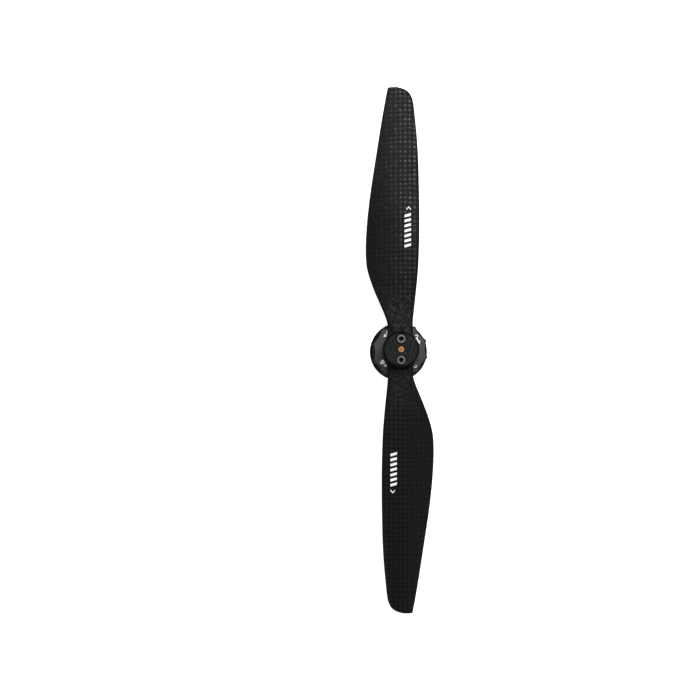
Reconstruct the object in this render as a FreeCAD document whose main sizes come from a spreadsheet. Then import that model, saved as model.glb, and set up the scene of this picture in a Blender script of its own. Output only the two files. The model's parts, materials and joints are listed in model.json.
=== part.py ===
# Two-blade carbon fibre propeller on a twist-lock quick-release hub.
#
# The row frame is the propeller's own: the origin is on the spin axis at the hub's seat face,
# +Z points up the spin axis towards the cap, and the blades lie along Y. Seen from above the
# propeller turns clockwise, so the +Y blade leads with its +X edge.
#
# From the seat face up, the hub is an entry plate, a chamber where the locking plate turns, the
# hub body with its barrel, the lock ring round the barrel, the blade and the cap. Two screws
# through the cap and the blade clamp them to the barrel, and the blade's root keeps the ring on.
# Three pins join the ring to the locking plate through slots in the hub body, so turning the
# ring opens the socket, and a torsion spring turns it back.

import FreeCAD, Part
import math
import os
import Sketcher
from FreeCAD import Placement, Rotation, Vector

doc = FreeCAD.newDocument("Propeller")
sheet = doc.addObject("Spreadsheet::Sheet", "Sizes")

# Name, value in millimetres unless the name says otherwise, what it is.
DRIVING_SIZES = (
    ("hub_radius", 17.1, "outside of the entry plate"),
    ("hub_shoulder", 15.2, "top of the hub body's tapered flange"),
    ("hub_chamfer", 0.3, "broken outer edges of the hub"),
    ("plate_height", 2.0, "thickness of the entry plate"),
    ("chamber_height", 2.0, "height of the locking plate's chamber"),
    ("chamber_radius", 13.1, "wall of that chamber"),
    ("web_height", 1.9, "thickness of the hub body above the chamber"),
    ("barrel_radius", 9.0, "barrel that the lock ring turns on"),
    ("barrel_top", 11.0, "height of the face that the blade is clamped to"),
    ("socket_radius", 7.1, "bore that takes the motor's stub"),
    ("socket_relief", 7.5, "wider bore above the plates"),
    ("lug_reach", 9.2, "radius that the stub's lugs reach"),
    ("lug_width", 3.0, "width of each slot for a lug"),
    ("lug_pocket", 1.5, "depth of the pockets that hold the lugs from turning"),
    ("lug_start_deg", 30.0, "angle of the first lug slot"),
    ("lug_count", 3, "number of lugs"),
    ("shoulder_height", 1.0, "shoulder that keeps the plunger in"),
    ("plate_screw_circle", 14.4, "radius of the circle of plate screws"),
    ("plate_screw_radius", 0.8, "shank of a plate screw"),
    ("plate_screw_head", 1.5, "radius of its countersunk head"),
    ("plate_screw_length", 4.6, "overall length of a plate screw"),
    ("plate_screw_hex", 1.3, "hexagon socket of a plate screw, across its flats"),
    ("plate_screw_hex_depth", 0.7, "depth of that socket"),
    ("pin_slot_overrun_deg", 14.5, "how much longer each pin slot is than the ring's travel"),
    ("ring_corner", 16.75, "radius to the corners of the lock ring"),
    ("ring_waist", 15.25, "radius to the middle of each finger scallop"),
    ("ring_corner_round", 0.9, "rounding of those corners"),
    ("ring_scallops", 10, "number of scallops"),
    ("ring_phase_deg", 3.5, "angle to the middle of the first scallop"),
    ("ring_bottom", 6.05, "underside of the lock ring"),
    ("ring_height", 4.5, "height of the lock ring"),
    ("ring_chamfer", 0.8, "bevel round the top of the lock ring"),
    ("ring_break", 0.4, "broken lower edge of the lock ring"),
    ("ring_travel_deg", 45.0, "turn of the ring from locked to open"),
    ("run_gap", 0.05, "radial clearance of a running fit"),
    ("pin_circle", 11.5, "radius of the circle of drive pins"),
    ("pin_radius", 1.0, "radius of a drive pin"),
    ("pin_length", 6.4, "length of a drive pin"),
    ("pocket_radius", 10.1, "outer wall of the return spring's pocket"),
    ("pocket_height", 2.9, "depth of that pocket"),
    ("return_wire", 0.5, "wire of the return spring"),
    ("return_radius", 9.62, "mean radius of its coil"),
    ("return_pitch", 0.72, "rise of each turn of it"),
    ("return_turns", 3.0, "turns in it"),
    ("return_leg", 0.24, "radius of its legs, where the bent wire has drawn thinner"),
    ("washer_radius", 10.0, "outside of the thrust washer"),
    ("washer_height", 0.36, "thickness of the thrust washer"),
    ("plunger_stem", 2.3, "radius of the plunger's stem"),
    ("plunger_head", 3.1, "radius of the plunger's head"),
    ("plunger_collar", 0.8, "height of that head"),
    ("plunger_foot", 3.9, "lowest point of the plunger at rest"),
    ("spring_bore", 3.2, "bore that holds the plunger's spring"),
    ("push_wire", 0.4, "wire of the plunger's spring"),
    ("push_radius", 2.6, "mean radius of its coil"),
    ("push_turns", 3.0, "turns in it"),
    ("bush_radius", 2.97, "spigot that centres the blade"),
    ("bush_flange", 0.8, "height of the flange under the spigot"),
    ("bush_height", 4.0, "height of the spigot"),
    ("bush_bore", 1.2, "hole through the bush"),
    ("insert_radius", 2.0, "outside of a threaded insert"),
    ("insert_height", 4.0, "length of a threaded insert"),
    ("clamp_spacing", 12.0, "distance between the two clamp screws"),
    ("clamp_shank", 1.48, "radius of a clamp screw's thread"),
    ("clamp_bore", 1.5, "radius of the insert's thread"),
    ("clamp_clear", 1.65, "clearance hole in the blade and cap"),
    ("clamp_head", 2.75, "radius of a clamp screw's head"),
    ("clamp_head_height", 2.0, "height of that head"),
    ("clamp_length", 10.0, "length of a clamp screw under its head"),
    ("clamp_hex", 2.5, "hexagon socket, across its flats"),
    ("clamp_hex_depth", 1.3, "depth of the hexagon socket"),
    ("cap_radius", 10.3, "outside of the cap"),
    ("cap_height", 3.8, "thickness of the cap"),
    ("cap_chamfer", 0.5, "broken upper edge of the cap"),
    ("cap_counterbore", 3.2, "radius of the counterbores"),
    ("cap_counterbore_depth", 2.25, "depth of the counterbores"),
    ("marker_radius", 1.6, "radius of the coloured marker in the cap"),
    ("marker_height", 2.4, "length of the marker"),
    ("root_radius", 9.8, "round root of the blade"),
    ("root_height", 4.2, "thickness of the blade's root"),
    ("root_bore", 3.0, "centring bore of the blade"),
    ("blade_middle", 13.0, "height of the blade's pitch axis at the hub"),
    ("tip_drop", 0.9, "how far the pitch axis falls on its way to the tip"),
    ("tip_radius", 152.4, "distance from the spin axis to the tips"),
    ("trailing_edge", 0.4, "thickness of the trailing edge"),
    ("neck_start", 14.0, "distance from the spin axis where the neck starts to flatten"),
    ("neck_length", 26.0, "length over which the neck turns into a full aerofoil"),
    ("camber_share", 0.045, "camber of the full aerofoil, as a share of its chord"),
)

# The blade's sections, from the root out. Each row gives the distance from the spin axis, the
# leading and trailing edges' distances from the pitch axis in plan, the thickness, and the
# section's pitch angle. The last rows round the leading corner of the tip.
BLADE_STATIONS = (
    (6.0, 7.20, 7.30, 3.90, 0.0),
    (11.0, 7.20, 7.30, 3.90, 0.0),
    (16.0, 7.25, 7.60, 3.85, 0.5),
    (21.0, 7.65, 9.30, 3.70, 1.5),
    (27.0, 8.30, 11.85, 3.45, 3.0),
    (34.0, 9.05, 14.80, 3.15, 5.0),
    (41.0, 9.70, 17.30, 2.90, 7.0),
    (48.0, 10.20, 19.15, 2.70, 8.6),
    (56.0, 10.55, 19.85, 2.50, 9.6),
    (66.0, 10.80, 19.70, 2.30, 9.5),
    (80.0, 10.88, 18.60, 2.05, 8.2),
    (96.0, 10.66, 16.55, 1.80, 6.6),
    (112.0, 10.22, 14.05, 1.55, 5.4),
    (128.0, 9.15, 11.55, 1.35, 4.6),
    (138.0, 8.17, 9.90, 1.20, 4.2),
    (144.0, 7.35, 8.85, 1.10, 4.0),
    (147.5, 6.15, 8.20, 1.00, 3.9),
    (149.8, 4.40, 7.70, 0.90, 3.8),
    (151.4, 1.80, 7.40, 0.80, 3.7),
    (152.4, -1.30, 7.20, 0.65, 3.7),
)
STATION_COLUMNS = ("reach", "lead", "trail", "thick", "twist")


class Size:
    """A number and the spreadsheet expression that gives it, so that one sum sets both."""

    def __init__(self, value, text):
        self.value = value
        self.text = text

    def __add__(self, other):
        return Size(self.value + number(other), f"({self.text} + {words(other)})")

    def __sub__(self, other):
        return Size(self.value - number(other), f"({self.text} - {words(other)})")

    def __mul__(self, other):
        return Size(self.value * number(other), f"({self.text} * {words(other)})")

    def __truediv__(self, other):
        return Size(self.value / number(other), f"({self.text} / {words(other)})")

    def __neg__(self):
        return Size(-self.value, f"(-{self.text})")


class Sizes:
    """The driving sizes by name, read back from the spreadsheet."""


def number(value):
    return value.value if isinstance(value, Size) else value


def words(value):
    return value.text if isinstance(value, Size) else str(value)


def polar(radius, degrees):
    """The x and y of a point at that radius and angle."""
    angle = math.radians(number(degrees))
    turn = f"({words(degrees)} * 1 deg)"
    return (
        Size(number(radius) * math.cos(angle), f"({words(radius)} * cos{turn})"),
        Size(number(radius) * math.sin(angle), f"({words(radius)} * sin{turn})"),
    )


def fill_sheet():
    """Writes the driving sizes and the blade's stations to the sheet, one alias to a value."""
    for row, (name, value, meaning) in enumerate(DRIVING_SIZES, start=1):
        sheet.set(f"A{row}", name)
        sheet.set(f"B{row}", str(value))
        sheet.set(f"C{row}", meaning)
        sheet.setAlias(f"B{row}", name)
    first = len(DRIVING_SIZES) + 2
    for place, station in enumerate(BLADE_STATIONS):
        for column, heading, value in zip("BCDEF", STATION_COLUMNS, station):
            cell = f"{column}{first + place}"
            sheet.set(cell, str(value))
            sheet.setAlias(cell, f"{heading}_{place}")
    doc.recompute()
    sizes = Sizes()
    for name, _, _ in DRIVING_SIZES:
        setattr(sizes, name, Size(float(sheet.get(name)), f"Sizes.{name}"))
    return sizes


fill = fill_sheet()
travel = fill.ring_travel_deg
chamber_top = fill.plate_height + fill.chamber_height
web_top = chamber_top + fill.web_height
ring_top = fill.ring_bottom + fill.ring_height
cap_bottom = fill.barrel_top + fill.root_height
cap_top = cap_bottom + fill.cap_height
plunger_seat = web_top + fill.shoulder_height


# Helpers


def new_body(label):
    body = doc.addObject("PartDesign::Body", label)
    body.Label = label
    return body


def origin_feature(body, role):
    return next(feature for feature in body.Origin.OriginFeatures if feature.Role == role)


def new_sketch(body, name, plane, height=0):
    """A sketch on one of the body's origin planes, raised along that plane's normal."""
    sketch = body.newObject("Sketcher::SketchObject", name)
    sketch.AttachmentSupport = [(origin_feature(body, plane), "")]
    sketch.MapMode = "FlatFace"
    if number(height):
        sketch.AttachmentOffset = Placement(Vector(0, 0, number(height)), Rotation())
        sketch.setExpression("AttachmentOffset.Base.z", words(height))
    return sketch


def bind_constraint(sketch, kind, places, value):
    """Adds a dimension to the sketch and ties it to the sheet."""
    index = sketch.addConstraint(Sketcher.Constraint(kind, *places, number(value)))
    if isinstance(value, Size):
        sketch.setExpression(f"Constraints[{index}]", value.text)


def pin_point(sketch, piece, end, x, y):
    """Ties one point of the sketch to its distances from the sketch's axes."""
    for kind, value, axis in (("DistanceX", x, -2), ("DistanceY", y, -1)):
        if abs(number(value)) < 1e-9:
            sketch.addConstraint(Sketcher.Constraint("PointOnObject", piece, end, axis))
        else:
            bind_constraint(sketch, kind, (-1, 1, piece, end), value)


def outline(body, name, plane, points, height=0):
    """A sketch of one closed outline of straight lines through the points."""
    sketch = new_sketch(body, name, plane, height)
    corners = [Vector(number(x), number(y), 0) for x, y in points]
    count = len(corners)
    for place, corner in enumerate(corners):
        sketch.addGeometry(Part.LineSegment(corner, corners[(place + 1) % count]))
    for place in range(count):
        follower = (place + 1) % count
        sketch.addConstraint(Sketcher.Constraint("Coincident", place, 2, follower, 1))
    for place, (x, y) in enumerate(points):
        pin_point(sketch, place, 1, x, y)
    return sketch


def circles(body, name, rounds, height=0, plane="XY_Plane"):
    """A sketch of circles, each given as (x, y, radius)."""
    sketch = new_sketch(body, name, plane, height)
    for place, (x, y, radius) in enumerate(rounds):
        centre = Vector(number(x), number(y), 0)
        sketch.addGeometry(Part.Circle(centre, Vector(0, 0, 1), number(radius)))
        pin_point(sketch, place, 3, x, y)
        bind_constraint(sketch, "Radius", (place,), radius)
    return sketch


def solid_feature(body, kind, name, sketch, length=None):
    feature = body.newObject(f"PartDesign::{kind}", name)
    feature.Profile = sketch
    if length is not None:
        feature.setExpression("Length", words(length))
    sketch.Visibility = False
    return feature


def pad(body, name, sketch, length):
    return solid_feature(body, "Pad", name, sketch, length)


def pocket(body, name, sketch, length):
    """Cuts upwards from the sketch, and stops the script if nothing was cut."""
    doc.recompute()
    before = body.Shape.Volume
    feature = solid_feature(body, "Pocket", name, sketch, length)
    feature.Reversed = True
    doc.recompute()
    if not body.Shape.Volume < before:
        raise RuntimeError(f"{body.Label}: pocket {name} cut nothing")
    return feature


def revolve(body, name, profile, kind="Revolution", angle=360, both_ways=False):
    """Turns a closed outline of (radius, height) points round the Z axis."""
    sketch = outline(body, name + "Outline", "XZ_Plane", profile)
    feature = solid_feature(body, kind, name, sketch)
    feature.ReferenceAxis = (sketch, ["V_Axis"])
    feature.setExpression("Angle", words(angle))
    feature.Midplane = both_ways
    return feature


def polar_pattern(body, name, features, count):
    pattern = body.newObject("PartDesign::PolarPattern", name)
    pattern.Originals = features
    pattern.Axis = (origin_feature(body, "Z_Axis"), [""])
    pattern.Angle = 360
    pattern.setExpression("Occurrences", words(count))
    body.Tip = pattern
    return pattern


def dress_edges(body, kind, name, size, wanted):
    """Chamfers or fillets the edges of the body's tip that the test wants."""
    doc.recompute()
    base = body.Tip
    chosen = [f"Edge{i}" for i, edge in enumerate(base.Shape.Edges, start=1) if wanted(edge)]
    if not chosen:
        raise RuntimeError(f"{body.Label}: {name} found no edges")
    feature = body.newObject(f"PartDesign::{kind}", name)
    feature.Base = (base, chosen)
    feature.setExpression("Size" if kind == "Chamfer" else "Radius", words(size))
    return feature


def level_edges(height, smallest=0.0, largest=1e9):
    """A test for edges that lie at one height and stay between two distances from the axis."""

    def wanted(edge):
        box = edge.BoundBox
        flat = abs(box.ZMin - number(height)) < 1e-4 and abs(box.ZMax - number(height)) < 1e-4
        middle = edge.valueAt((edge.FirstParameter + edge.LastParameter) / 2)
        reach = math.hypot(middle.x, middle.y)
        return flat and number(smallest) - 1e-4 <= reach <= number(largest) + 1e-4

    return wanted


def loose_feature(label, shape):
    """A sub-part whose shape Part's own functions made."""
    feature = doc.addObject("Part::Feature", label)
    feature.Label = label
    feature.Shape = shape
    return feature


def place(feature, x=0, y=0, z=0):
    """Moves a finished sub-part, with its place bound to the sheet."""
    feature.Placement = Placement(Vector(number(x), number(y), number(z)), Rotation())
    for axis, value in (("x", x), ("y", y), ("z", z)):
        if isinstance(value, Size):
            feature.setExpression(f"Placement.Base.{axis}", value.text)


def lug_slots(body, name, start, reach, width, bottom, depth):
    """Slots from the middle outwards, one for each of the stub's lugs."""
    middle_x, middle_y = polar(reach / 2, start)
    sketch = new_sketch(body, name + "Outline", "XY_Plane", bottom)
    turn = Rotation(Vector(0, 0, 1), number(start))
    half = number(width) / 2
    corners = [(0, -half), (number(reach), -half), (number(reach), half), (0, half)]
    points = [turn.multVec(Vector(x, y, 0)) for x, y in corners]
    for first, second in zip(points, points[1:] + points[:1]):
        sketch.addGeometry(Part.LineSegment(first, second))
    for side in range(4):
        sketch.addConstraint(Sketcher.Constraint("Coincident", side, 2, (side + 1) % 4, 1))
    for side in range(3):
        sketch.addConstraint(Sketcher.Constraint("Perpendicular", side, side + 1))
    bind_constraint(sketch, "Distance", (0,), reach)
    bind_constraint(sketch, "Distance", (1,), width)
    middle = sketch.addGeometry(Part.Point(Vector(middle_x.value, middle_y.value, 0)))
    pin_point(sketch, middle, 1, middle_x, middle_y)
    sketch.addConstraint(Sketcher.Constraint("Symmetric", 0, 1, 1, 2, middle, 1))
    bind_constraint(sketch, "Angle", (0,), start)
    sketch.toggleConstruction(middle)
    cut = pocket(body, name, sketch, depth)
    polar_pattern(body, name + "Pattern", [cut], fill.lug_count)


# The hub's fixed pieces


def hub_body():
    """Flange, web and barrel in one, hollow for the locking plate, the stub and the plunger."""
    body = new_body("hub_body")
    revolve(
        body,
        "Turning",
        (
            (fill.chamber_radius, fill.plate_height),
            (fill.hub_radius - fill.hub_chamfer, fill.plate_height),
            (fill.hub_shoulder, web_top - fill.hub_chamfer),
            (fill.hub_shoulder - fill.hub_chamfer, web_top),
            (fill.barrel_radius, web_top),
            (fill.barrel_radius, fill.barrel_top),
            (fill.spring_bore, fill.barrel_top),
            (fill.spring_bore, plunger_seat),
            (fill.plunger_stem + fill.run_gap, plunger_seat),
            (fill.plunger_stem + fill.run_gap, web_top),
            (fill.socket_relief, web_top),
            (fill.socket_relief, chamber_top),
            (fill.chamber_radius, chamber_top),
        ),
    )
    lug_slots(
        body,
        "LugPockets",
        fill.lug_start_deg,
        fill.lug_reach,
        fill.lug_width,
        chamber_top,
        fill.lug_pocket,
    )
    slot_half = fill.pin_radius + 0.25
    slot = revolve(
        body,
        "PinSlot",
        (
            (fill.pin_circle - slot_half, chamber_top - 0.2),
            (fill.pin_circle + slot_half, chamber_top - 0.2),
            (fill.pin_circle + slot_half, web_top + 0.2),
            (fill.pin_circle - slot_half, web_top + 0.2),
        ),
        kind="Groove",
        angle=travel + fill.pin_slot_overrun_deg,
        both_ways=True,
    )
    polar_pattern(body, "PinSlots", [slot], fill.lug_count)
    doc.recompute()
    tapped = circles(
        body,
        "PlateScrewOutline",
        [(fill.plate_screw_circle, 0, fill.plate_screw_radius + 0.02)],
        fill.plate_height,
    )
    hole = pocket(body, "PlateScrewHole", tapped, fill.plate_screw_length - fill.plate_height + 0.4)
    polar_pattern(body, "PlateScrewHoles", [hole], fill.lug_count)
    reach = fill.clamp_spacing / 2
    insert_seats = circles(
        body,
        "InsertOutline",
        [(0, reach, fill.insert_radius), (0, -reach, fill.insert_radius)],
        fill.barrel_top - fill.insert_height,
    )
    pocket(body, "InsertSeats", insert_seats, fill.insert_height)
    run_outs = circles(
        body,
        "RunOutOutline",
        [(0, reach, fill.clamp_clear), (0, -reach, fill.clamp_clear)],
        fill.barrel_top - fill.insert_height - 0.5,
    )
    pocket(body, "RunOuts", run_outs, fill.insert_height)
    anchor = circles(
        body, "AnchorOutline", [(fill.return_radius, 0, fill.return_wire * 0.7)], chamber_top
    )
    pocket(body, "SpringAnchor", anchor, fill.web_height)
    return body


def entry_plate():
    """The hub's bottom, with the bore and slots that let the stub and its lugs in."""
    body = new_body("entry_plate")
    disc = circles(body, "DiscOutline", [(0, 0, fill.hub_radius)])
    pad(body, "Disc", disc, fill.plate_height)
    bore = circles(body, "BoreOutline", [(0, 0, fill.socket_radius)])
    pocket(body, "Bore", bore, fill.plate_height)
    lug_slots(
        body,
        "LugSlots",
        fill.lug_start_deg,
        fill.lug_reach,
        fill.lug_width,
        0,
        fill.plate_height,
    )
    screw = circles(
        body,
        "ScrewOutline",
        [(fill.plate_screw_circle, 0, fill.plate_screw_radius + 0.1)],
    )
    hole = pocket(body, "ScrewHole", screw, fill.plate_height)
    polar_pattern(body, "ScrewHoles", [hole], fill.lug_count)
    near = fill.plate_screw_circle - fill.plate_screw_head
    far = fill.plate_screw_circle + fill.plate_screw_radius * 1.2
    sink = fill.plate_screw_head - fill.plate_screw_radius
    dress_edges(body, "Chamfer", "Countersinks", sink - 0.05, level_edges(0, near, far))
    for name, height in (("LowerEdge", 0), ("UpperEdge", fill.plate_height)):
        rim = level_edges(height, fill.hub_radius, fill.hub_radius)
        dress_edges(body, "Chamfer", name, fill.hub_chamfer, rim)
    return body


def plate_screw(label, degrees):
    """Countersunk screw, head down, that holds the entry plate to the hub body."""
    body = new_body(label)
    head_height = fill.plate_screw_head - fill.plate_screw_radius
    sunk = 0.05
    revolve(
        body,
        "Turning",
        (
            (0, sunk),
            (fill.plate_screw_head - 0.05, sunk),
            (fill.plate_screw_radius, head_height),
            (fill.plate_screw_radius, fill.plate_screw_length - 0.2),
            (fill.plate_screw_radius - 0.2, fill.plate_screw_length),
            (0, fill.plate_screw_length),
        ),
    )
    hex_recess(body, fill.plate_screw_hex, sunk, fill.plate_screw_hex_depth)
    x, y = polar(fill.plate_screw_circle, degrees)
    place(body, x, y)
    return body


def hex_recess(body, across_flats, height, depth):
    """Hexagon socket that opens at the given height and goes up."""
    corner = across_flats / math.sqrt(3)
    points = [polar(corner, 60 * side) for side in range(6)]
    sketch = outline(body, "SocketOutline", "XY_Plane", points, height)
    return pocket(body, "Socket", sketch, depth)


def clamp_screw(label, side):
    """Low-headed socket screw that clamps the cap and the blade to the barrel."""
    body = new_body(label)
    top = fill.clamp_length + fill.clamp_head_height
    revolve(
        body,
        "Turning",
        (
            (0, 0),
            (fill.clamp_shank - 0.35, 0),
            (fill.clamp_shank, 0.4),
            (fill.clamp_shank, fill.clamp_length),
            (fill.clamp_head, fill.clamp_length),
            (fill.clamp_head, top - 0.3),
            (fill.clamp_head - 0.3, top),
            (0, top),
        ),
    )
    hex_recess(body, fill.clamp_hex, top - fill.clamp_hex_depth, fill.clamp_hex_depth)
    seat = cap_top - fill.cap_counterbore_depth
    place(body, 0, fill.clamp_spacing / 2 * side, seat - fill.clamp_length)
    return body


def thread_insert(label, side):
    """Insert pressed into the barrel, with two gripping bands and a waist between them."""
    body = new_body(label)
    band = fill.insert_height * 0.38
    waist = fill.insert_radius - 0.25
    revolve(
        body,
        "Turning",
        (
            (fill.clamp_bore, 0),
            (waist, 0),
            (fill.insert_radius, 0.25),
            (fill.insert_radius, band),
            (waist, band),
            (waist, fill.insert_height - band),
            (fill.insert_radius, fill.insert_height - band),
            (fill.insert_radius, fill.insert_height),
            (fill.clamp_bore, fill.insert_height),
        ),
    )
    place(body, 0, fill.clamp_spacing / 2 * side, fill.barrel_top - fill.insert_height)
    return body


def centring_bush():
    """Top-hat bush: its flange closes the spring bore, and its spigot centres the blade."""
    body = new_body("centring_bush")
    bottom = fill.barrel_top - fill.bush_flange
    top = fill.barrel_top + fill.bush_height
    revolve(
        body,
        "Turning",
        (
            (fill.bush_bore, bottom),
            (fill.spring_bore - 0.03, bottom),
            (fill.spring_bore - 0.03, fill.barrel_top),
            (fill.bush_radius, fill.barrel_top),
            (fill.bush_radius, top - 0.3),
            (fill.bush_radius - 0.3, top),
            (fill.bush_bore, top),
        ),
    )
    return body


def thrust_washer():
    """Slippery washer between the lock ring and the blade's root."""
    body = new_body("thrust_washer")
    ring = [(0, 0, fill.washer_radius), (0, 0, fill.barrel_radius + fill.run_gap)]
    sketch = circles(body, "RingOutline", ring, fill.barrel_top - fill.washer_height)
    pad(body, "Ring", sketch, fill.washer_height)
    return body


def top_cap():
    """Round plate over the blade's root, counterbored for the two clamp screws."""
    body = new_body("top_cap")
    disc = circles(body, "DiscOutline", [(0, 0, fill.cap_radius)], cap_bottom)
    pad(body, "Disc", disc, fill.cap_height)
    reach = fill.clamp_spacing / 2
    through = circles(
        body,
        "ThroughOutline",
        [(0, reach, fill.clamp_clear), (0, -reach, fill.clamp_clear)],
        cap_bottom,
    )
    pocket(body, "Through", through, fill.cap_height)
    counterbores = circles(
        body,
        "CounterboreOutline",
        [(0, reach, fill.cap_counterbore), (0, -reach, fill.cap_counterbore)],
        cap_top - fill.cap_counterbore_depth,
    )
    pocket(body, "Counterbores", counterbores, fill.cap_counterbore_depth)
    seat = circles(
        body, "MarkerOutline", [(0, 0, fill.marker_radius + 0.02)], cap_top - fill.marker_height
    )
    pocket(body, "MarkerSeat", seat, fill.marker_height)
    rim = level_edges(cap_top, fill.cap_radius, fill.cap_radius)
    dress_edges(body, "Chamfer", "UpperEdge", fill.cap_chamfer, rim)
    return body


def rotation_marker():
    """Coloured plug in the cap that tells a clockwise propeller from its mirror twin."""
    body = new_body("rotation_marker")
    top = cap_top - 0.05
    revolve(
        body,
        "Turning",
        (
            (0, cap_top - fill.marker_height),
            (fill.marker_radius, cap_top - fill.marker_height),
            (fill.marker_radius, top - 0.2),
            (fill.marker_radius - 0.2, top),
            (0, top),
        ),
    )
    return body


# The pieces that turn with the lock ring


def lock_ring():
    """Scalloped finger ring that turns on the barrel."""
    body = new_body("lock_ring")
    disc = circles(body, "DiscOutline", [(0, 0, fill.ring_corner + 1)], fill.ring_bottom)
    pad(body, "Disc", disc, fill.ring_height)
    corner_x, corner_y = polar(fill.ring_corner, Size(180, "180") / fill.ring_scallops)
    sagitta = corner_x - fill.ring_waist
    scallop_radius = (sagitta * sagitta + corner_y * corner_y) / (sagitta * 2)
    centre_x, centre_y = polar(fill.ring_waist + scallop_radius, fill.ring_phase_deg)
    arc = [(centre_x, centre_y, scallop_radius)]
    scallop = pocket(
        body, "Scallop", circles(body, "ScallopOutline", arc, fill.ring_bottom), fill.ring_height
    )
    polar_pattern(body, "Scallops", [scallop], fill.ring_scallops)
    bore = [(0, 0, fill.barrel_radius + fill.run_gap)]
    pocket(body, "Bore", circles(body, "BoreOutline", bore, fill.ring_bottom), fill.ring_height)
    well = [(0, 0, fill.pocket_radius)]
    pocket(
        body,
        "SpringPocket",
        circles(body, "SpringPocketOutline", well, fill.ring_bottom),
        fill.pocket_height,
    )
    x, y = polar(fill.pin_circle, travel / 2)
    seat = circles(body, "PinOutline", [(x, y, fill.pin_radius)], fill.ring_bottom)
    pin_top = fill.plate_height + 0.1 + fill.pin_length
    pin_seat = pocket(body, "PinSeat", seat, pin_top - fill.ring_bottom)
    polar_pattern(body, "PinSeats", [pin_seat], fill.lug_count)
    leg = fill.return_wire * 0.8
    slot = outline(
        body,
        "LegSlotOutline",
        "XY_Plane",
        (
            (fill.pocket_radius - 0.4, -leg),
            (fill.pocket_radius + 1.6, -leg),
            (fill.pocket_radius + 1.6, leg),
            (fill.pocket_radius - 0.4, leg),
        ),
        fill.ring_bottom,
    )
    pocket(body, "LegSlot", slot, fill.pocket_height)

    def upright_corner(edge):
        box = edge.BoundBox
        tall = box.ZLength > fill.ring_height.value - 0.01
        return tall and math.hypot(box.Center.x, box.Center.y) > fill.ring_waist.value

    dress_edges(body, "Fillet", "Corners", fill.ring_corner_round, upright_corner)
    edges = (
        ("UpperEdge", ring_top, fill.ring_chamfer),
        ("LowerEdge", fill.ring_bottom, fill.ring_break),
    )
    for name, height, size in edges:
        rim = level_edges(height, fill.ring_waist - 0.1, fill.ring_corner)
        dress_edges(body, "Chamfer", name, size, rim)
    return body


def locking_plate():
    """Plate that turns under the stub's lugs. Its slots stand off the entry plate's when shut."""
    body = new_body("locking_plate")
    bottom = fill.plate_height + 0.1
    thickness = fill.chamber_height - 0.2
    disc = [(0, 0, fill.chamber_radius - 0.3), (0, 0, fill.socket_radius + 0.3)]
    pad(body, "Disc", circles(body, "DiscOutline", disc, bottom), thickness)
    lug_slots(
        body,
        "LugSlots",
        fill.lug_start_deg + travel,
        fill.lug_reach,
        fill.lug_width + 0.2,
        bottom,
        thickness,
    )
    x, y = polar(fill.pin_circle, travel / 2)
    hole = circles(body, "PinOutline", [(x, y, fill.pin_radius)], bottom)
    pin_hole = pocket(body, "PinHole", hole, thickness)
    polar_pattern(body, "PinHoles", [pin_hole], fill.lug_count)
    return body


def drive_pin(label, degrees):
    """Dowel that carries the lock ring's turn down to the locking plate."""
    body = new_body(label)
    radius = fill.pin_radius - 0.01
    revolve(
        body,
        "Turning",
        (
            (0, 0),
            (radius - 0.2, 0),
            (radius, 0.2),
            (radius, fill.pin_length - 0.2),
            (radius - 0.2, fill.pin_length),
            (0, fill.pin_length),
        ),
    )
    x, y = polar(fill.pin_circle, degrees)
    place(body, x, y, fill.plate_height + 0.1)
    return body


# The plunger and the springs


def plunger():
    """Sprung pin that takes up the stub's play and pushes it out when the ring is opened."""
    body = new_body("plunger")
    revolve(
        body,
        "Turning",
        (
            (0, fill.plunger_foot),
            (fill.plunger_stem - 0.5, fill.plunger_foot),
            (fill.plunger_stem, fill.plunger_foot + 0.5),
            (fill.plunger_stem, plunger_seat),
            (fill.plunger_head, plunger_seat),
            (fill.plunger_head, plunger_seat + fill.plunger_collar),
            (0, plunger_seat + fill.plunger_collar),
        ),
    )
    return body


def coil(body, mean_radius, wire, low, pitch, turns):
    """Round wire wound up from the +X side, where its middle is at the height low."""
    section = circles(body, "WireOutline", [(mean_radius, low, wire / 2)], plane="XZ_Plane")
    feature = solid_feature(body, "AdditiveHelix", "Coil", section)
    feature.ReferenceAxis = (section, ["V_Axis"])
    feature.Mode = "pitch-turns-angle"
    feature.setExpression("Pitch", words(pitch))
    feature.setExpression("Turns", words(turns))
    return feature


def plunger_spring():
    """Compression spring between the plunger's head and the bush."""
    body = new_body("plunger_spring")
    wire = fill.push_wire
    low = plunger_seat + fill.plunger_collar + wire / 2 + 0.02
    high = fill.barrel_top - fill.bush_flange - wire / 2 - 0.02
    coil(body, fill.push_radius, wire, low, (high - low) / fill.push_turns, fill.push_turns)
    return body


def return_spring():
    """Torsion spring: one leg hooks down into the hub body, the other out into the lock ring."""
    body = new_body("return_spring")
    wire = fill.return_wire
    low = fill.ring_bottom + wire / 2 + 0.12
    high = low + fill.return_pitch * fill.return_turns
    coil(body, fill.return_radius, wire, low, fill.return_pitch, fill.return_turns)
    hook_end = chamber_top + 0.2
    hook = circles(body, "HookOutline", [(fill.return_radius, 0, fill.return_leg)], hook_end)
    pad(body, "Hook", hook, low + wire / 4 - hook_end)
    leg_start = fill.return_radius - wire / 4
    leg = circles(body, "LegOutline", [(0, high, fill.return_leg)], leg_start, plane="YZ_Plane")
    pad(body, "Leg", leg, fill.pocket_radius + 1.2 - leg_start)
    return body


# The blade


def station_value(heading, row):
    return float(sheet.get(f"{heading}_{row}"))


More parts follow.
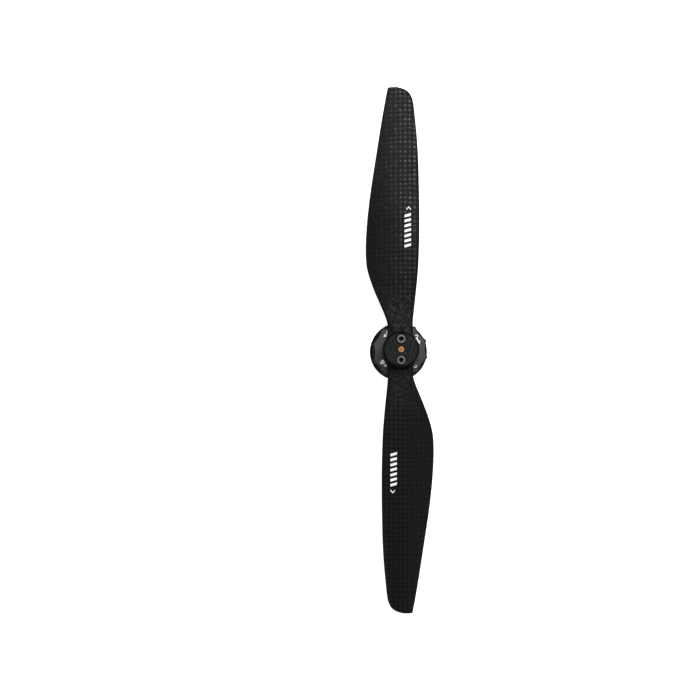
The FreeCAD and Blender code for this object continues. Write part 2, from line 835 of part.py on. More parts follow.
def section_wire(row):
    """One closed section: a spline round the leading edge, and the flat trailing edge.

    The neck is a rounded bar, and it turns into a cambered aerofoil as it leaves the hub.
    """
    reach, lead, trail, thick, twist = (station_value(heading, row) for heading in STATION_COLUMNS)
    past_neck = max(0.0, min(1.0, (reach - fill.neck_start.value) / fill.neck_length.value))
    aerofoil = past_neck * past_neck * (3 - 2 * past_neck)
    chord_share = 1 / math.cos(math.radians(twist))
    lead = lead * chord_share
    trail = trail * chord_share
    chord = lead + trail
    edge = min(fill.trailing_edge.value, thick * 0.5) / 2
    camber = fill.camber_share.value * chord * aerofoil
    sides = {1: [], -1: []}
    steps = 14
    squareness = 3.2  # 2 would make the neck an ellipse, and more makes it boxier
    for step in range(steps + 1):
        share = (1 - math.cos(math.pi * step / steps)) / 2
        wing = 10 * (
            0.2969 * math.sqrt(share)
            - 0.1260 * share
            - 0.3516 * share**2
            + 0.2843 * share**3
            - 0.1036 * share**4
        )
        bar = (1 - abs(2 * share - 1) ** squareness) ** (1 / squareness)
        half = thick / 2 * (wing * aerofoil + bar * (1 - aerofoil)) * (1 - 0.02 * share)
        half = max(half, 0) + edge * share**2 * (1 if half < edge else 0.5)
        rise = camber * 4 * share * (1 - share)
        for side in sides:
            sides[side].append((lead - chord * share, rise + side * half))
    around = sides[1][::-1] + sides[-1][1:]
    angle = math.radians(twist)
    outward = max(0.0, reach - fill.root_radius.value) / (fill.tip_radius - fill.root_radius).value
    middle = fill.blade_middle.value - fill.tip_drop.value * outward
    points = [
        Vector(
            x * math.cos(angle) - z * math.sin(angle),
            reach,
            middle + x * math.sin(angle) + z * math.cos(angle),
        )
        for x, z in around
    ]
    curve = Part.BSplineCurve()
    curve.interpolate(points)
    return Part.Wire([curve.toShape(), Part.makeLine(points[-1], points[0])])


def carbon_blade():
    """Both blades and their round root, moulded as one piece."""
    wires = [section_wire(row) for row in range(len(BLADE_STATIONS))]
    blade = Part.makeLoft(wires, True, False)
    other = blade.copy()
    other.rotate(Vector(), Vector(0, 0, 1), 180)
    bottom = Vector(0, 0, fill.barrel_top.value)
    root = Part.makeCylinder(fill.root_radius.value, fill.root_height.value, bottom)
    shape = root.fuse([blade, other])
    reach = fill.clamp_spacing.value / 2
    height = fill.root_height.value + 2
    for radius, y in ((fill.root_bore, 0), (fill.clamp_clear, reach), (fill.clamp_clear, -reach)):
        drill = Part.makeCylinder(radius.value, height, Vector(0, y, fill.barrel_top.value - 1))
        shape = shape.cut(drill)
    return loose_feature("carbon_blade", shape)


def build():
    thirds = [120 * step for step in range(3)]
    parts = [
        carbon_blade(),
        top_cap(),
        rotation_marker(),
        centring_bush(),
        thrust_washer(),
        hub_body(),
        entry_plate(),
        lock_ring(),
        locking_plate(),
        plunger(),
        plunger_spring(),
        return_spring(),
    ]
    for end, side in (("front", 1), ("back", -1)):
        parts.append(clamp_screw(f"clamp_screw_{end}", side))
        parts.append(thread_insert(f"thread_insert_{end}", side))
    for count, degrees in enumerate(thirds, start=1):
        parts.append(plate_screw(f"plate_screw_{count}", degrees))
        parts.append(drive_pin(f"drive_pin_{count}", travel / 2 + degrees))
    return parts


def check(parts):
    """Stops the script if any feature failed or any sub-part isn't a good solid."""
    doc.recompute()
    for feature in doc.Objects:
        if "Invalid" in feature.State or "Error" in feature.State:
            raise RuntimeError(f"{feature.Label} failed: {feature.State}")
    for part in parts:
        if part.Shape.isNull() or not part.Shape.isValid() or not part.Shape.Solids:
            raise RuntimeError(f"{part.Label} is not a valid solid")


parts = build()
check(parts)
os.makedirs("parts", exist_ok=True)
for part in parts:
    part.Shape.exportStep(f"parts/{part.Label}.step")
    print(part.Label, len(part.Shape.Solids), round(part.Shape.Volume, 2))
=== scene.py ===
# Two-blade carbon fibre propeller on its twist-lock hub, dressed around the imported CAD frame.
import bmesh
import bpy
import json
import math
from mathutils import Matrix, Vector
from mathutils.bvhtree import BVHTree


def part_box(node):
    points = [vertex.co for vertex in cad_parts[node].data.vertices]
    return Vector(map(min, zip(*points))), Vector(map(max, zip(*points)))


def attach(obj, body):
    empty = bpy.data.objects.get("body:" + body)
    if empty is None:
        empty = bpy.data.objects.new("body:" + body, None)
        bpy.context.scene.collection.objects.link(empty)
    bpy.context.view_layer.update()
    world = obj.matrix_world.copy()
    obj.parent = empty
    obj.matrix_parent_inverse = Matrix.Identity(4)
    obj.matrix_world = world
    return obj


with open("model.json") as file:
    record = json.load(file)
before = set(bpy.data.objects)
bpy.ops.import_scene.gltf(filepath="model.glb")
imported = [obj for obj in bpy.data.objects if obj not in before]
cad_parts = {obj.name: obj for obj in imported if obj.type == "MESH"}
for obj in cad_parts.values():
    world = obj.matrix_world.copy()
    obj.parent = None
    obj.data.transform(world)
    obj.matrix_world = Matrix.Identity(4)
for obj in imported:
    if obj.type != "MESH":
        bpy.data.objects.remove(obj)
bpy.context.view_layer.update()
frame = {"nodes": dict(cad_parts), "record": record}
nodes = frame["nodes"]
mm = 0.001
print("frame loaded:", len(nodes), "nodes")


# Shader helpers

class Wire:
    # One socket of a material, so that shader sums read as plain arithmetic.
    def __init__(self, paint, socket):
        self.paint = paint
        self.socket = socket

    def __add__(self, other):
        return self.paint.maths("ADD", self, other)

    def __radd__(self, other):
        return self.paint.maths("ADD", other, self)

    def __sub__(self, other):
        return self.paint.maths("SUBTRACT", self, other)

    def __rsub__(self, other):
        return self.paint.maths("SUBTRACT", other, self)

    def __mul__(self, other):
        return self.paint.maths("MULTIPLY", self, other)

    def __rmul__(self, other):
        return self.paint.maths("MULTIPLY", other, self)

    def __truediv__(self, other):
        return self.paint.maths("DIVIDE", self, other)

    def __rtruediv__(self, other):
        return self.paint.maths("DIVIDE", other, self)

    def __pow__(self, other):
        return self.paint.maths("POWER", self, other)

    def __mod__(self, other):
        return self.paint.maths("FLOORED_MODULO", self, other)

    def __gt__(self, other):
        return self.paint.maths("GREATER_THAN", self, other)

    def __lt__(self, other):
        return self.paint.maths("LESS_THAN", self, other)

    def __abs__(self):
        return self.paint.maths("ABSOLUTE", self)


class Graph:
    # The nodes of one material or of the world, all of them made by one method.
    def __init__(self, tree):
        self.tree = tree

    def node(self, kind, settings=None, sockets=None, out=0):
        made = self.tree.nodes.new(kind)
        for name, value in (settings or {}).items():
            if name == "stops":
                self.fillRamp(made.color_ramp, value)
            else:
                setattr(made, name, value)
        for name, value in (sockets or {}).items():
            self.feed(made.inputs[name], value)
        return Wire(self, made.outputs[out])

    def fillRamp(self, ramp, stops):
        while len(ramp.elements) < len(stops):
            ramp.elements.new(0.5)
        for element, (place, colour) in zip(ramp.elements, stops):
            element.position = place
            element.color = colour

    def feed(self, socket, value):
        if isinstance(value, Wire):
            self.tree.links.new(value.socket, socket)
        else:
            socket.default_value = value

    def maths(self, operation, *values):
        return self.node("ShaderNodeMath", {"operation": operation}, dict(enumerate(values)))

    def smooth(self, value, low, high):
        # 0 below low, 1 above high, with an eased step between them
        sockets = {"Value": value, "From Min": low, "From Max": high}
        return self.node("ShaderNodeMapRange", {"interpolation_type": "SMOOTHSTEP"}, sockets)

    def mix(self, share, first, second):
        sockets = {"Factor": share, 6: first, 7: second}
        return self.node("ShaderNodeMix", {"data_type": "RGBA"}, sockets, out=2)

    def noise(self, point, size, detail=2.0, roughness=0.5):
        sockets = {"Vector": point, "Scale": 1.0 / size, "Detail": detail, "Roughness": roughness}
        return self.node("ShaderNodeTexNoise", sockets=sockets)

    def plane(self, across, along):
        return self.node("ShaderNodeCombineXYZ", sockets={0: across, 1: along})


class Paint(Graph):
    # A material with one Principled shader, whose fixed values are set by socket name.
    def __init__(self, name, fixed):
        self.material = bpy.data.materials.new(name)
        self.material.use_nodes = True
        super().__init__(self.material.node_tree)
        self.shader = self.tree.nodes["Principled BSDF"]
        for socket, value in fixed.items():
            self.shader.inputs[socket].default_value = value

    def where(self):
        # the point in the row frame, in millimetres, that moves with its piece
        point = self.node("ShaderNodeTexCoord", out="Object")
        scaled = self.node("ShaderNodeVectorMath", {"operation": "SCALE"}, {0: point, "Scale": 1000.0})
        split = self.node("ShaderNodeSeparateXYZ", sockets={0: scaled})
        outputs = split.socket.node.outputs
        return scaled, [Wire(self, outputs[axis]) for axis in "XYZ"]

    def facing(self, rounded=0.0):
        # 1 facing up, 0 upright, -1 facing down, with edges rounded off over a radius in millimetres
        if rounded:
            normal = self.node("ShaderNodeBevel", {"samples": 6}, {"Radius": rounded * mm})
        else:
            normal = self.node("ShaderNodeNewGeometry", out="Normal")
        return self.node("ShaderNodeSeparateXYZ", sockets={0: normal}, out="Z")

    def bump(self, height, depth, strength=1.0):
        # height runs from 0 to 1 over a depth in millimetres
        sockets = {"Height": height, "Distance": depth * mm, "Strength": strength}
        self.feed(self.shader.inputs["Normal"], self.node("ShaderNodeBump", sockets=sockets))

    def finish(self, **wires):
        names = {
            "colour": "Base Color",
            "roughness": "Roughness",
            "coat": "Coat Weight",
            "metal": "Metallic",
            "alpha": "Alpha",
            "glow": "Emission Color",
        }
        for name, wire in wires.items():
            self.feed(self.shader.inputs[names[name]], wire)
        return self.material


def grey(level, tint=(1.0, 1.0, 1.0)):
    return (level * tint[0], level * tint[1], level * tint[2], 1)


# Finishes

def carbonLaminate():
    # plain weave laid at 45 degrees to the blade, under a thin satin clear coat
    laminate = {
        "towWidth": 1.9,  # mm, of each flat bundle of fibres
        "fibres": 13,  # streaks seen across one bundle
        "resin": grey(0.0024, (0.97, 1.08, 1.0)),
        "darkTow": grey(0.0042, (0.97, 1.08, 1.0)),
        "lightTow": grey(0.036, (0.98, 1.05, 0.98)),
        # painted shade: the steep edges take these near-black colours, the lighter one in the stripes of
        # the stacked plies
        "edge": grey(0.0015),
        "edgeLight": grey(0.006),
        "relief": 0.1,  # mm
        "rootReach": 42.0,  # mm from the spin axis where the weave starts to look streaky
        "worstSway": 0.3,  # bundles, how far the weave wanders
        "rootSway": 0.7,  # bundles, added towards the root
        "lowest": 0.45,  # height of a bundle where it dips under, as a share of its crown
        "paintedSheenFrom": -9.0,  # mm from the middle line, where the painted sheen of the weave is faintest
        "paintedSheenTo": 10.0,  # mm, where the painted sheen is strongest
        "ground": 0.24,  # gleam between the bundles
        "checker": 0.9,  # how far the gleam of the bundles swings about the ground
        "grain": 0.8,  # mm
        "shadedEdgeWidth": 0.7,  # mm, radius of the rounding for the painted shade, a dark border where the blade's edges turn away from the light
        "plies": 24.0,  # radians of stacked layers in each mm of height
    }
    paint = Paint("carbonLaminate", {"Coat Roughness": 0.3, "Coat IOR": 1.4, "Specular IOR Level": 0.06})
    point, (x, y, z) = paint.where()
    haze = paint.noise(point, 14.0, 2.0)
    diagonal = laminate["towWidth"] * math.sqrt(2)
    root = 1 - paint.smooth(abs(y), laminate["rootReach"] * 0.4, laminate["rootReach"])
    sway = (paint.noise(point, 16.0, 1.0) - 0.5) * laminate["worstSway"] * 2
    sway = sway + (paint.noise(point, 3.0) - 0.5) * root * laminate["rootSway"]
    warp = (x + y) / diagonal + sway
    weft = (y - x) / diagonal + sway * 0.7
    warpUp = (paint.maths("FLOOR", warp) + paint.maths("FLOOR", weft)) % 2.0 > 0.5
    warpAcross = 1 - abs((warp % 1.0) * 2 - 1) ** 4.0
    weftAcross = 1 - abs((weft % 1.0) * 2 - 1) ** 4.0
    lowest = laminate["lowest"]
    warpRise = warpAcross * (lowest + (1 - lowest) * paint.maths("SINE", (weft % 1.0) * math.pi))
    weftRise = weftAcross * (lowest + (1 - lowest) * paint.maths("SINE", (warp % 1.0) * math.pi))
    rise = warpRise * warpUp + weftRise * (1 - warpUp)
    streaks = laminate["fibres"]
    warpStreak = paint.plane(warp * streaks, weft * 0.9)
    weftStreak = paint.plane(warp * 0.9, weft * streaks)
    fibre = paint.noise(warpStreak, 1.0) * warpUp + paint.noise(weftStreak, 1.0) * (1 - warpUp)
    bundle = paint.plane(paint.maths("FLOOR", warp), paint.maths("FLOOR", weft))
    flatNoise = {"noise_dimensions": "2D"}
    luck = paint.node("ShaderNodeTexWhiteNoise", flatNoise, {"Vector": bundle}, out="Value")
    lead = x * paint.maths("SIGN", y)  # towards the leading edge, the same way on both blades
    # Painted highlight: the checker of the weave gleams more towards the leading edge of each blade,
    # standing in for where the key light catches it
    clear = paint.smooth(lead, laminate["paintedSheenFrom"], laminate["paintedSheenTo"])
    patchy = paint.smooth(paint.noise(point, 7.0, 2.0), 0.3, 0.68)
    contrast = (0.4 + 1.4 * clear) * (0.45 + 0.55 * patchy)
    checker = paint.maths("SINE", warp * math.pi) * paint.maths("SINE", weft * math.pi)
    cells = laminate["ground"] + checker * abs(checker) * contrast * laminate["checker"]
    streaky = paint.noise(paint.plane(warp * 2.3, weft * 0.6), 1.0, 1.0)
    crossing = paint.noise(paint.plane(warp * 0.6, weft * 2.3), 1.0, 1.0)
    wisp = paint.smooth(streaky, 0.5, 0.62) + paint.smooth(crossing, 0.5, 0.62)
    grain = paint.smooth(paint.noise(point, laminate["grain"], 2.0), 0.3, 0.7)
    gleam = (cells * (1 - root * 0.7) + wisp * root * 0.8) * (0.5 + grain) * (0.6 + 0.8 * luck)
    gleam = paint.maths("MAXIMUM", gleam, 0.0)
    # Painted shade: the gleam fades out where the surface tips away from level, and the steep edges turn to
    # the dark edge colour
    level = abs(paint.facing(laminate["shadedEdgeWidth"]))
    flat = paint.smooth(level, 0.8, 0.97)
    upright = 1 - paint.smooth(level, 0.15, 0.45)
    woven = paint.mix(rise, laminate["resin"], laminate["darkTow"])
    colour = paint.mix(gleam * flat, woven, laminate["lightTow"])
    ply = paint.maths("SINE", z * laminate["plies"]) * 0.5 + 0.5
    edge = paint.mix(ply, laminate["edge"], laminate["edgeLight"])
    paint.bump(rise * 0.8 + fibre * 0.12 + haze * 0.4, laminate["relief"], 0.7)
    return paint.finish(
        colour=paint.mix(upright, colour, edge),
        metal=paint.smooth(gleam, 0.0, 0.6) * flat,
        roughness=0.56 - gleam * 0.12 + haze * 0.08,
        coat=0.02 + 0.08 * haze,
    )


def texturedCoating():
    # fine-grained black coating of the cap, worn a little brighter along the rim, with painted shade: a
    # near-black band round the rim for the shadow at the cap's edge
    coating = {
        "black": grey(0.004, (0.88, 1.12, 1.02)),
        "paler": grey(0.009, (0.88, 1.12, 1.02)),
        "speck": grey(0.085, (0.94, 1.07, 1.01)),
        # painted shade: the near-black band round the cap's edge
        "rim": grey(0.0012),
        "worn": grey(0.09),
        "radius": 9.45,  # mm, where the flat top ends
        "shadedRimWidth": 0.4,  # mm
        "grain": 0.6,  # mm
        "relief": 0.05,  # mm
    }
    paint = Paint("capCoating", {"Specular IOR Level": 0.14})
    point, (x, y, z) = paint.where()
    grain = paint.noise(point, coating["grain"], 3.0, 0.65)
    blotch = paint.noise(point, 4.0, 3.0)
    reach = paint.maths("SQRT", x * x + y * y)
    # rim marks the outer band: it takes the painted shade colour, and it is where the worn scuffs fall
    rim = paint.smooth(reach, coating["radius"] - coating["shadedRimWidth"], coating["radius"])
    scuff = paint.smooth(paint.noise(point, 0.8, 4.0, 0.7), 0.6, 0.74) * rim
    base = paint.mix(blotch, coating["black"], coating["paler"])
    speckled = paint.mix(paint.smooth(grain, 0.52, 0.74), base, coating["speck"])
    paint.bump(grain, coating["relief"], 0.8)
    return paint.finish(
        colour=paint.mix(scuff * 0.25, paint.mix(rim, speckled, coating["rim"]), coating["worn"]),
        roughness=0.5 + 0.25 * grain + 0.3 * rim,
    )


def anodised(name, level, worn, gloss, metal, grooves, sheen):
    # anodised aluminium: fine blast, faint turning rings, narrow bevels in painted shade, near black, with
    # bright spots that are partly wear and partly painted glints
    look = {
        "green": (0.94, 1.06, 1.01),
        "blast": 0.3,  # mm
        "relief": 0.02,  # mm
        "bevel": (0.3, 0.55, 0.85, 0.97),  # how far up or down a bevel faces, where it fades in and out
        "bevelShade": 0.003,
    }
    paint = Paint(name, {"Specular IOR Level": sheen})
    point, (x, y, z) = paint.where()
    rings = paint.maths("SINE", paint.maths("SQRT", x * x + y * y) * grooves) * 0.5 + 0.5
    blast = paint.noise(point, look["blast"], 2.0, 0.6)
    blotch = paint.noise(point, 3.4, 3.0, 0.6)
    facing = abs(paint.facing())
    low, lowFull, highFull, high = look["bevel"]
    bevel = paint.smooth(facing, low, lowFull) * (1 - paint.smooth(facing, highFull, high))
    # bright spots on the bevels: partly worn metal, partly painted glints
    scuff = paint.smooth(paint.noise(point, 0.9, 4.0, 0.7), 0.56, 0.7) * bevel
    base = paint.mix(blotch, grey(level * 0.75, look["green"]), grey(level * 1.3, look["green"]))
    grainy = paint.mix(paint.smooth(blast, 0.5, 0.75) * 0.5, base, grey(level * 2.4, look["green"]))
    # painted shade: the bevels go near black
    shadedBevels = paint.mix(bevel * 0.8, grainy, grey(look["bevelShade"]))
    paint.bump(rings * 0.25 + blast * 0.75, look["relief"], 0.8)
    return paint.finish(
        colour=paint.mix(scuff * 0.5, shadedBevels, grey(worn)),
        roughness=gloss + 0.12 * blotch + 0.08 * blast,
        metal=metal + 0.3 * scuff,
    )


def turnedMetal(name, colour, roughness, grooves, depth):
    paint = Paint(name, {"Metallic": 1.0})
    point, (x, y, z) = paint.where()
    rings = paint.maths("SINE", z * grooves) * 0.5 + 0.5
    cloud = paint.noise(point, 1.6, 3.0)
    dull = tuple(channel * 0.72 for channel in colour)
    paint.bump(rings * 0.6 + paint.noise(point, 0.12) * 0.4, depth, 0.5)
    return paint.finish(
        colour=paint.mix(cloud, (*dull, 1), (*colour, 1)),
        roughness=roughness + 0.15 * cloud,
    )


def screwSteel():
    # satin steel heads with fine rings about each screw's own axis, and painted shade: black inside the
    # hexagon socket and a dark ring at the head's edge for the counterbore's shadow
    screw = {
        "spacing": 6.0,  # mm from the spin axis to each clamp screw
        "dull": grey(0.045, (1, 1, 1.04)),
        "bright": grey(0.26, (1, 1, 1.04)),
        "recessShade": grey(0.004),
        "head": 2.75,  # mm, outer radius of the head
        "rim": (0.45, 0.1),  # mm in from that radius, where the painted shadow of the counterbore, a dark rim, fades in and is full
        "socket": (0.9, 0.25),  # mm under the top, where the painted shade in the socket is full and where it starts
        "grooves": 26.0,
        "relief": 0.03,  # mm
    }
    paint = Paint("screwSteel", {"Metallic": 0.9})
    point, (x, y, z) = paint.where()
    reach = paint.maths("SQRT", x * x + (abs(y) - screw["spacing"]) ** 2.0)
    rings = paint.maths("SINE", reach * screw["grooves"]) * 0.5 + 0.5
    cloud = paint.noise(point, 0.8, 4.0, 0.65)
    steel = paint.mix(cloud, screw["dull"], screw["bright"])
    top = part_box("clamp_screw_front")[1].z / mm
    darkest, opening = screw["socket"]
    # painted shade: the socket darkens with depth, and the head's edge darkens for the counterbore's shadow
    recessShade = 1 - paint.smooth(z, top - darkest, top - opening)
    rimShadeFrom, rimShadeTo = screw["rim"]
    rim = paint.smooth(reach, screw["head"] - rimShadeFrom, screw["head"] - rimShadeTo)
    paint.bump(rings * 0.5 + cloud * 0.5, screw["relief"], 0.8)
    return paint.finish(
        colour=paint.mix(paint.maths("MAXIMUM", recessShade, rim * 0.8), steel, screw["recessShade"]),
        roughness=0.36 + 0.22 * cloud,
    )


def markerEnamel():
    marker = {
        "middle": (0.3, 0.075, 0.006, 1),
        "rim": (0.6, 0.26, 0.075, 1),
        "radius": 1.6,  # mm
        "relief": 0.05,  # mm
    }
    paint = Paint("markerEnamel", {"Coat Weight": 0.3, "Coat Roughness": 0.3})
    point, (x, y, z) = paint.where()
    reach = paint.maths("SQRT", x * x + y * y) / marker["radius"]
    cloud = paint.noise(point, 0.45, 3.0)
    rim = paint.smooth(reach + (cloud - 0.5) * 0.5, 0.3, 0.72)
    paint.bump(cloud - rim * 0.5, marker["relief"], 0.6)
    return paint.finish(
        colour=paint.mix(rim, marker["middle"], marker["rim"]),
        roughness=0.42 + 0.2 * cloud,
    )


def printedInk():
    ink = {"thin": grey(0.85), "full": grey(0.98), "grain": 0.25, "relief": 0.01}  # grain and relief in mm
    paint = Paint("printedInk", {"Specular IOR Level": 0.3})
    point, _ = paint.where()
    cloud = paint.noise(point, ink["grain"], 3.0, 0.7)
    paint.bump(cloud, ink["relief"], 0.5)
    return paint.finish(
        colour=paint.mix(paint.smooth(cloud, 0.3, 0.5), ink["thin"], ink["full"]),
        roughness=0.55 + 0.2 * cloud,
    )


def bearingPolymer():
    washer = {"black": grey(0.004), "rubbed": grey(0.012), "grain": 0.8, "relief": 0.02}  # in mm
    paint = Paint("bearingPolymer", {"Specular IOR Level": 0.2})
    point, _ = paint.where()
    cloud = paint.noise(point, washer["grain"], 3.0)
    paint.bump(cloud, washer["relief"], 0.4)
    return paint.finish(
        colour=paint.mix(cloud, washer["black"], washer["rubbed"]),
        roughness=0.6 + 0.15 * cloud,
    )


finishes = {
    "carbon_laminate": carbonLaminate(),
    "cap_coating": texturedCoating(),
    "ring_anodised": anodised("ringAnodised", 0.072, 0.35, 0.4, 0.95, 9.0, 0.4),
    "hub_anodised": anodised("hubAnodised", 0.002, 0.05, 0.45, 0.05, 22.0, 0.08),
    "plate_anodised": anodised("plateAnodised", 0.006, 0.14, 0.4, 0.3, 16.0, 0.3),
    "screw_steel": screwSteel(),
    "marker_orange": markerEnamel(),
    "washer_polymer": bearingPolymer(),
    "bush_steel": turnedMetal("bushSteel", (0.5, 0.5, 0.49), 0.28, 30.0, 0.01),
    "locking_steel": turnedMetal("lockingSteel", (0.4, 0.4, 0.41), 0.34, 40.0, 0.008),
    "plunger_steel": turnedMetal("plungerSteel", (0.58, 0.58, 0.57), 0.2, 26.0, 0.01),
    "spring_steel": turnedMetal("springSteel", (0.36, 0.36, 0.37), 0.3, 8.0, 0.005),
    "insert_brass": turnedMetal("insertBrass", (0.66, 0.47, 0.2), 0.26, 34.0, 0.012),
    "pin_steel": turnedMetal("pinSteel", (0.5, 0.5, 0.51), 0.22, 20.0, 0.005),
}
for entry in frame["record"]["subparts"]:
    mesh = nodes[entry["node"]].data
    mesh.materials.clear()
    mesh.materials.append(finishes[entry["material_slot"]])
ink = printedInk()
print("finishes made:", len(finishes) + 1)


# Printed marks

def newPiece(name, build, material, body):
    shape = bmesh.new()
    build(shape)
    bmesh.ops.recalc_face_normals(shape, faces=shape.faces)
    mesh = bpy.data.meshes.new(name)
    shape.to_mesh(mesh)
    shape.free()
    mesh.materials.append(material)
    piece = bpy.data.objects.new(name, mesh)
    bpy.context.scene.collection.objects.link(piece)
    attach(piece, body)
    return piece


def addSlab(shape, outline, low, high):
    # a thin flat-topped solid over a closed outline of points
    bottom = [shape.verts.new((x, y, low)) for x, y in outline]
    top = [shape.verts.new((x, y, high)) for x, y in outline]
    shape.faces.new(top)
    shape.faces.new(bottom[::-1])
    for place in range(len(outline)):
        after = (place + 1) % len(outline)
        shape.faces.new((bottom[place], bottom[after], top[after], top[place]))


def arcBand(middle, radius, width, start, end, steps=20):
    # the outline of a curved band, from the start angle to the end angle
    outside = []
    inside = []
    for step in range(steps + 1):
        angle = math.radians(start + (end - start) * step / steps)
        spoke = Vector((math.cos(angle), math.sin(angle)))
        outside.append(middle + spoke * (radius + width / 2))
        inside.append(middle + spoke * (radius - width / 2))
    return outside + inside[::-1]


def padlockOutlines(opened):
    # body with a keyhole left bare, and a shackle, in millimetres, with the shackle upwards
    lock = {"width": 2.1, "height": 1.3, "slit": 0.12, "shackle": 0.62, "wire": 0.42, "swung": 1.55}
    side, height, slit = lock["width"] / 2, lock["height"], lock["slit"]
    half = [(slit, 0), (side - 0.2, 0), (side, 0.2), (side, height), (slit, height)]
    outlines = [[Vector(p) for p in half], [Vector((-x, y)) for x, y in half][::-1]]
    for low, high in ((0, 0.4), (0.85, height)):
        outlines.append([Vector(p) for p in ((-slit, low), (slit, low), (slit, high), (-slit, high))])
    crown = Vector((-lock["swung"] if opened else 0, height + 0.25))
    outlines.append(arcBand(crown, lock["shackle"], lock["wire"], 0, 180))
    for way in (-1, 1):
        near = crown.x + way * (lock["shackle"] - lock["wire"] / 2)
        far = crown.x + way * (lock["shackle"] + lock["wire"] / 2)
        foot = crown.y - 0.7 if opened and way < 0 else height
        left, right = min(near, far), max(near, far)
        corners = ((left, foot), (right, foot), (right, crown.y), (left, crown.y))
        outlines.append([Vector(p) for p in corners])
    return outlines


def ringMarks(shape):
    # a closed padlock on two sides and an open one on the other two, each with an arrow head
    marks = {
        "radius": 12.2,  # mm, foot of the padlocks plus half their height
        "scale": 1.08,
        "padlocks": ((214.0, False, 13.5), (124.5, False, 12.0), (33.0, True, -10.5), (306.5, True, -10.5)),
        "arrow": ((-0.85, -0.9), (0.95, 0.0), (-0.85, 0.9)),
        "thickness": 0.03,
    }
    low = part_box("lock_ring")[1].z
    high = low + marks["thickness"] * mm

    def put(outline, degrees, turn):
        angle = math.radians(degrees)
        outward = Vector((math.cos(angle), math.sin(angle)))
        sideways = Vector((-outward.y, outward.x)) * turn
        points = [outward * marks["radius"] + sideways * p.x + outward * p.y for p in outline]
        if turn < 0:
            points = points[::-1]
        addSlab(shape, [point * mm for point in points], low, high)

    for degrees, opened, lead in marks["padlocks"]:
        turn = math.copysign(1, lead)
        for outline in padlockOutlines(opened):
            put([(p - Vector((0, 1.0))) * marks["scale"] for p in outline], degrees, turn)
        put([Vector(p) * marks["scale"] for p in marks["arrow"]], degrees + lead, turn)


def surfaceOf(node):
    mesh = nodes[node].data
    points = [v.co for v in mesh.vertices]
    return BVHTree.FromPolygons(points, [tuple(p.vertices) for p in mesh.polygons])


def inkStroke(shape, surface, corners, side, thickness):
    # one stroke of ink between four corners, laid over the blade's upper face
    cell = 0.3  # mm
    lengthwise = max(2, round((corners[1] - corners[0]).length / cell))
    crosswise = max(2, round((corners[3] - corners[0]).length / cell))
    rows = []
    for i in range(lengthwise + 1):
        s = i / lengthwise
        start = corners[0].lerp(corners[1], s)
        end = corners[3].lerp(corners[2], s)
        row = []
        for j in range(crosswise + 1):
            flat = start.lerp(end, j / crosswise) * mm * side
            hit = surface.ray_cast(Vector((flat.x, flat.y, 0.1)), Vector((0, 0, -1)))
            row.append((hit[0] + hit[1] * thickness, hit[0] - hit[1] * thickness * 0.5))
        rows.append(row)
    tops = [[shape.verts.new(top) for top, _ in row] for row in rows]
    bottoms = [[shape.verts.new(bottom) for _, bottom in row] for row in rows]
    for i in range(lengthwise):
        for j in range(crosswise):
            shape.faces.new((tops[i][j], tops[i + 1][j], tops[i + 1][j + 1], tops[i][j + 1]))
            shape.faces.new((bottoms[i][j], bottoms[i][j + 1], bottoms[i + 1][j + 1], bottoms[i + 1][j]))
    loop = [(i, 0) for i in range(lengthwise)]
    loop += [(lengthwise, j) for j in range(crosswise)]
    loop += [(i, crosswise) for i in range(lengthwise, 0, -1)]
    loop += [(0, j) for j in range(crosswise, 0, -1)]
    for (i, j), (k, l) in zip(loop, loop[1:] + loop[:1]):
        shape.faces.new((tops[i][j], bottoms[i][j], bottoms[k][l], tops[k][l]))


def bladeMarks(side):
    # a row of slanted dashes and a chevron near the leading edge
    dashes = {
        "count": 7,
        "start": 58.6,  # mm from the spin axis
        "pitch": 2.9,
        "length": 1.5,
        "slant": 1.0,
        "inner": 2.2,
        "outer": 5.9,
        "thickness": 0.02,
    }
    chevron = {"middle": 4.6, "top": 81.6, "reach": 1.3, "height": 0.8, "footTop": -0.7, "footLow": -1.5}

    def build(shape):
        surface = surfaceOf("carbon_blade")
        strokes = []
        for place in range(dashes["count"]):
            y = dashes["start"] + dashes["pitch"] * place
            strokes.append([
                Vector((dashes["inner"], y)),
                Vector((dashes["inner"], y + dashes["length"])),
                Vector((dashes["outer"], y + dashes["length"] + dashes["slant"])),
                Vector((dashes["outer"], y + dashes["slant"])),
            ])
        middle, top = chevron["middle"], chevron["top"]
        for lean in (-1, 1):
            foot = middle + chevron["reach"] * lean
            strokes.append([
                Vector((middle, top)),
                Vector((middle, top + chevron["height"])),
                Vector((foot, top + chevron["footTop"])),
                Vector((foot, top + chevron["footLow"])),
            ])
        for corners in strokes:
            inkStroke(shape, surface, corners, side, dashes["thickness"] * mm)

    return build


newPiece("ring_lock_marks", ringMarks, ink, "lock_ring")
newPiece("blade_mark_front", bladeMarks(1), ink, "hub")
newPiece("blade_mark_back", bladeMarks(-1), ink, "hub")
print("marks printed")


# Studio

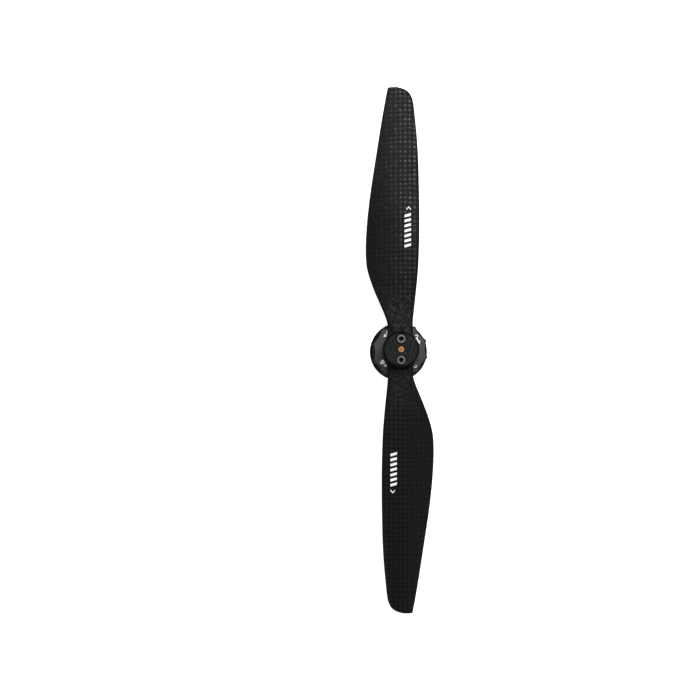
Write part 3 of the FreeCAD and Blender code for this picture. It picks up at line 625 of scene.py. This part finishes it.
def studioFloor():
    floor = {
        "size": 3.0,  # m, from the middle to each side
        "drop": 0.3,  # mm under the propeller
        "glow": 0.85,
        "clouds": 400.0,  # mm
        "paper": grey(0.84),
        "paperLight": grey(0.88),
    }
    paint = Paint("studioFloor", {"Specular IOR Level": 0.1, "Emission Strength": floor["glow"]})
    point, _ = paint.where()
    cloud = paint.noise(point, floor["clouds"])
    below = paint.node("ShaderNodeNewGeometry", out="Backfacing")
    paint.finish(
        glow=paint.mix(cloud, grey(0.98), grey(1.0)),
        alpha=1 - below,  # open from below, so that the underside can be seen
        colour=paint.mix(cloud, floor["paper"], floor["paperLight"]),
        roughness=0.85 + 0.05 * cloud,
    )
    shape = bmesh.new()
    bmesh.ops.create_grid(shape, x_segments=8, y_segments=8, size=floor["size"])
    mesh = bpy.data.meshes.new("studioFloor")
    shape.to_mesh(mesh)
    shape.free()
    mesh.materials.append(paint.material)
    made = bpy.data.objects.new("studioFloor", mesh)
    made.location.z = -floor["drop"] * mm
    bpy.context.scene.collection.objects.link(made)
    made.visible_glossy = False  # keeps the bright paper out of the black surfaces


def softBox(name, place, size, power):
    # a rectangular lamp that faces the propeller: place and size in metres, power in watts
    lamp = bpy.data.lights.new(name, "AREA")
    lamp.shape = "RECTANGLE"
    lamp.size, lamp.size_y = size
    lamp.energy = power
    made = bpy.data.objects.new(name, lamp)
    made.location = place
    made.rotation_euler = Vector(place).to_track_quat("Z", "Y").to_euler()
    bpy.context.scene.collection.objects.link(made)


def studioSky():
    # pale where it is seen directly, dim where it lights the propeller
    sky = {"seen": 0.95, "horizon": 0.16, "zenith": 0.06, "horizonEnd": 0.42}
    world = bpy.data.worlds.new("studioSky")
    world.use_nodes = True
    bpy.context.scene.world = world
    graph = Graph(world.node_tree)
    direction = graph.node("ShaderNodeTexCoord", out="Generated")
    height = graph.node("ShaderNodeSeparateXYZ", sockets={0: direction}, out="Z")
    stops = ((0.0, grey(sky["horizon"])), (sky["horizonEnd"], grey(sky["zenith"])))
    glow = graph.node("ShaderNodeValToRGB", {"stops": stops}, {"Fac": height})
    seen = graph.node("ShaderNodeLightPath", out="Is Camera Ray")
    graph.feed(graph.tree.nodes["Background"].inputs["Color"], graph.mix(seen, glow, grey(sky["seen"])))


def studioCamera():
    lens = {
        "focal": 27.51,  # mm
        "sensor": 36.0,  # mm
        "place": (-0.0308, -0.0254, 0.322),  # m
        "shift": (0.0043, 0.063),
        "nearest": 0.01,  # m
    }
    view = bpy.data.cameras.new("studioCamera")
    view.lens = lens["focal"]
    view.sensor_width = lens["sensor"]
    view.shift_x, view.shift_y = lens["shift"]
    view.clip_start = lens["nearest"]
    made = bpy.data.objects.new("studioCamera", view)
    made.location = lens["place"]
    bpy.context.scene.collection.objects.link(made)
    bpy.context.scene.camera = made


studioFloor()
studioSky()
softBox("keyBox", (0.14, 0.64, 0.75), (1.0, 0.7), 12.0)
softBox("fillLeft", (-0.75, -0.75, 0.42), (0.7, 0.5), 5.5)
softBox("fillRight", (0.8, -0.7, 0.42), (0.6, 0.5), 3.5)
studioCamera()
bpy.context.scene.view_settings.view_transform = "Standard"
print("studio lit")
